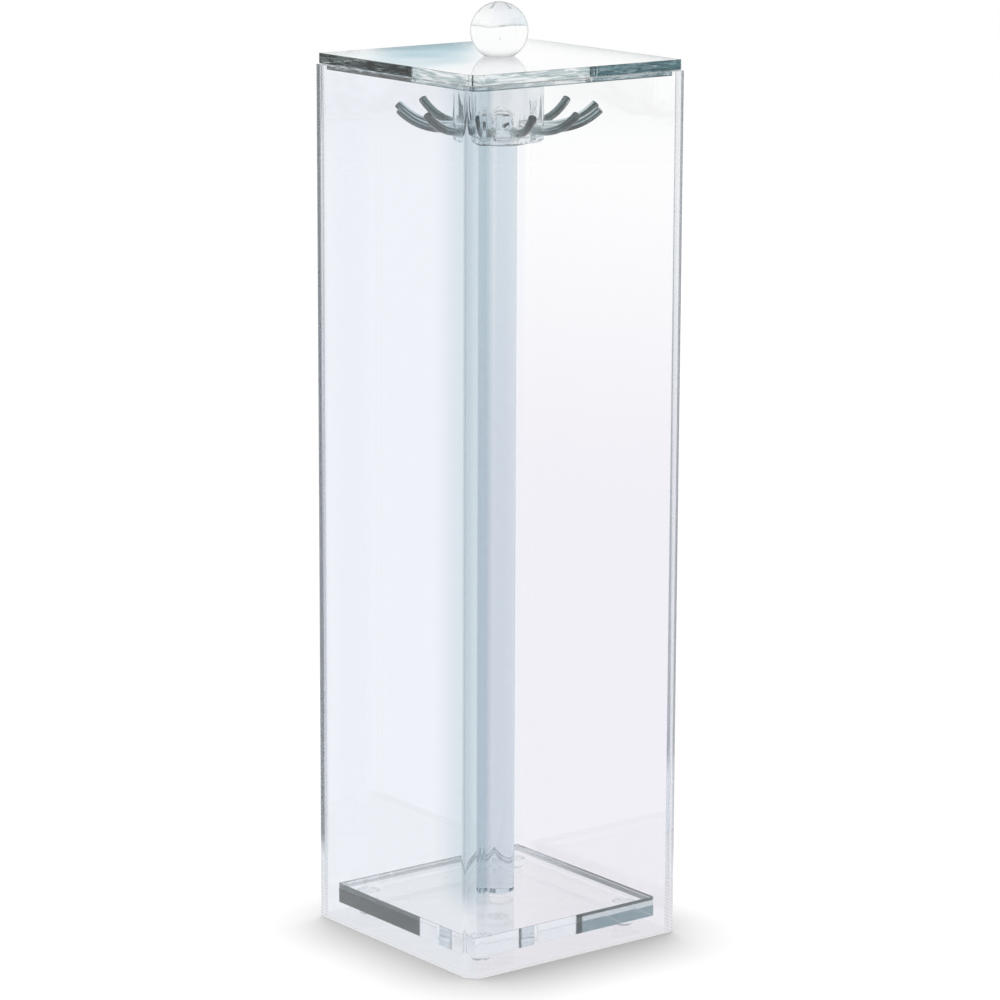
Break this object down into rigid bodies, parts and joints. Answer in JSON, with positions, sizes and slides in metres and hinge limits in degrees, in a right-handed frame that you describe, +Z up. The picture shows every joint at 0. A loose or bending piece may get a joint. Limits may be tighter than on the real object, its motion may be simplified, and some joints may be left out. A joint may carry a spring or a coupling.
{
  "type": "necklace holder",
  "caption": "Tall clear acrylic case with a lift-off lid and ball knob; inside, a stand with a turning head of bent hooks holds hanging necklaces.",
  "frame": {"origin": "centre of the case's underside, on the surface it stands on", "axes": "+Z up along the post; the rounded front bend of the case points to -X -Y, and its two flat front faces look along -X and -Y"},
  "size_m": [0.1, 0.1, 0.367],
  "materials": {
    "case_acrylic": "clear acrylic sheet, polished",
    "lid_acrylic": "clear acrylic sheet, polished edges",
    "knob_acrylic": "clear acrylic, polished ball",
    "base_acrylic": "thick clear acrylic, polished edges",
    "post_acrylic": "clear acrylic rod",
    "hub_acrylic": "clear acrylic, turned and drilled",
    "hook_acrylic": "clear acrylic rod, bent, ends softly rounded",
    "bumper_gel": "clear soft plastic",
    "washer_nylon": "translucent plastic washer"
  },
  "bodies": {
    "case_and_stand": {"case_front_shell": "case_acrylic", "case_rear_shell": "case_acrylic", "case_floor": "case_acrylic", "stand_base_plate": "base_acrylic", "stand_foot_1": "bumper_gel", "stand_foot_2": "bumper_gel", "stand_foot_3": "bumper_gel", "stand_foot_4": "bumper_gel", "stand_post": "post_acrylic", "thrust_washer": "washer_nylon"},
    "lid": {"lid_plate": "lid_acrylic", "lid_locating_plate": "lid_acrylic", "lid_knob": "knob_acrylic"},
    "hook_head": {"hub": "hub_acrylic", "hook_01": "hook_acrylic", "hook_02": "hook_acrylic", "hook_03": "hook_acrylic", "hook_04": "hook_acrylic", "hook_05": "hook_acrylic", "hook_06": "hook_acrylic", "hook_07": "hook_acrylic", "hook_08": "hook_acrylic", "hook_09": "hook_acrylic", "hook_10": "hook_acrylic", "hook_11": "hook_acrylic", "hook_12": "hook_acrylic"}
  },
  "joints": [
    {"name": "lid_lift", "type": "slide", "parent": "case_and_stand", "child": "lid", "axis": [0, 0, 1], "range_m": [0, 0.1]},
    {"name": "head_turn", "type": "hinge", "parent": "case_and_stand", "child": "hook_head", "pos_m": [0, 0, 0.3144], "axis": [0, 0, 1], "continuous": true}
  ]
}
